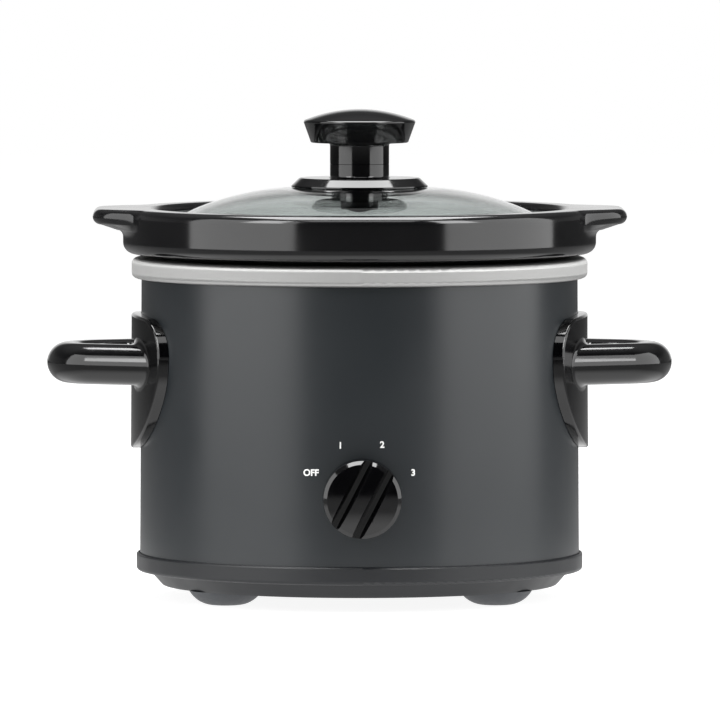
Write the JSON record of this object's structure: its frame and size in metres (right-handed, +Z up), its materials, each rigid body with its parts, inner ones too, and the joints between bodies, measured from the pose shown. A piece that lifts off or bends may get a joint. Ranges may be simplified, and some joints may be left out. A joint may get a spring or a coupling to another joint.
{
  "type": "slow cooker",
  "caption": "Round slow cooker: glass lid with knob, black stoneware crock in a heated well, cylindrical housing with side handles and a front dial, on a footed base tray.",
  "frame": {"origin": "on the cooker's axis, at floor level under the feet", "axes": "+Z up along the axis, +X towards the right handle seen from the front, the dial faces -Y"},
  "size_m": [0.2846, 0.2227, 0.2228],
  "materials": {
    "clear_glass": "polished",
    "black_phenolic": "polished",
    "glazed_stoneware": "glossy glaze",
    "charcoal_paint": "satin",
    "brushed_aluminium": "brushed",
    "base_polypropylene": "fine grain",
    "foot_rubber": "matte",
    "seal_silicone": "matte",
    "washer_nylon": "matte",
    "zinc_steel": "zinc plated",
    "brass": "machined",
    "switch_plastic": "matte",
    "heater_jacket": "mill",
    "shield_aluminium": "mill",
    "fuse_ceramic": "matte",
    "gland_nylon": "matte",
    "lead_sleeve": "matte"
  },
  "bodies": {
    "base": {"outer_housing": "charcoal_paint", "heating_well": "brushed_aluminium", "base_tray": "base_polypropylene", "foot_front_left": "foot_rubber", "foot_front_right": "foot_rubber", "foot_rear_left": "foot_rubber", "foot_rear_right": "foot_rubber", "handle_left": "black_phenolic", "handle_right": "black_phenolic", "handle_screws": "zinc_steel", "rotary_switch": "switch_plastic", "switch_nut": "zinc_steel", "switch_terminals": "brass", "heater_band": "heater_jacket", "heater_clamp_bolt": "zinc_steel", "heater_clamp_nut": "zinc_steel", "heater_tabs": "brass", "center_bolt": "zinc_steel", "center_washer": "zinc_steel", "center_nut": "zinc_steel", "shield_nut": "zinc_steel", "shield_spacer": "zinc_steel", "heat_shield": "shield_aluminium", "thermal_fuse": "fuse_ceramic", "fuse_clip": "zinc_steel", "cord_gland": "gland_nylon", "crimp_caps": "gland_nylon", "lead_low": "lead_sleeve", "lead_high": "lead_sleeve", "lead_supply": "lead_sleeve", "lead_fuse": "lead_sleeve", "lead_return": "lead_sleeve"},
    "crock": {"crock": "glazed_stoneware"},
    "lid": {"lid_glass": "clear_glass", "lid_knob": "black_phenolic", "knob_base": "black_phenolic", "knob_gasket": "seal_silicone", "knob_washer": "washer_nylon", "knob_screw": "zinc_steel", "knob_insert": "brass"},
    "dial": {"control_knob": "black_phenolic", "switch_shaft": "zinc_steel"}
  },
  "joints": [
    {"name": "crock_lift", "type": "slide", "parent": "base", "child": "crock", "axis": [0, 0, 1], "range_m": [0, 0.12]},
    {"name": "lid_lift", "type": "slide", "parent": "crock", "child": "lid", "axis": [0, 0, 1], "range_m": [0, 0.1]},
    {"name": "dial_turn", "type": "hinge", "parent": "base", "child": "dial", "pos_m": [0, -0.0999, 0.052], "axis": [0, 1, 0], "range_deg": [-89.5, 34.5]}
  ]
}
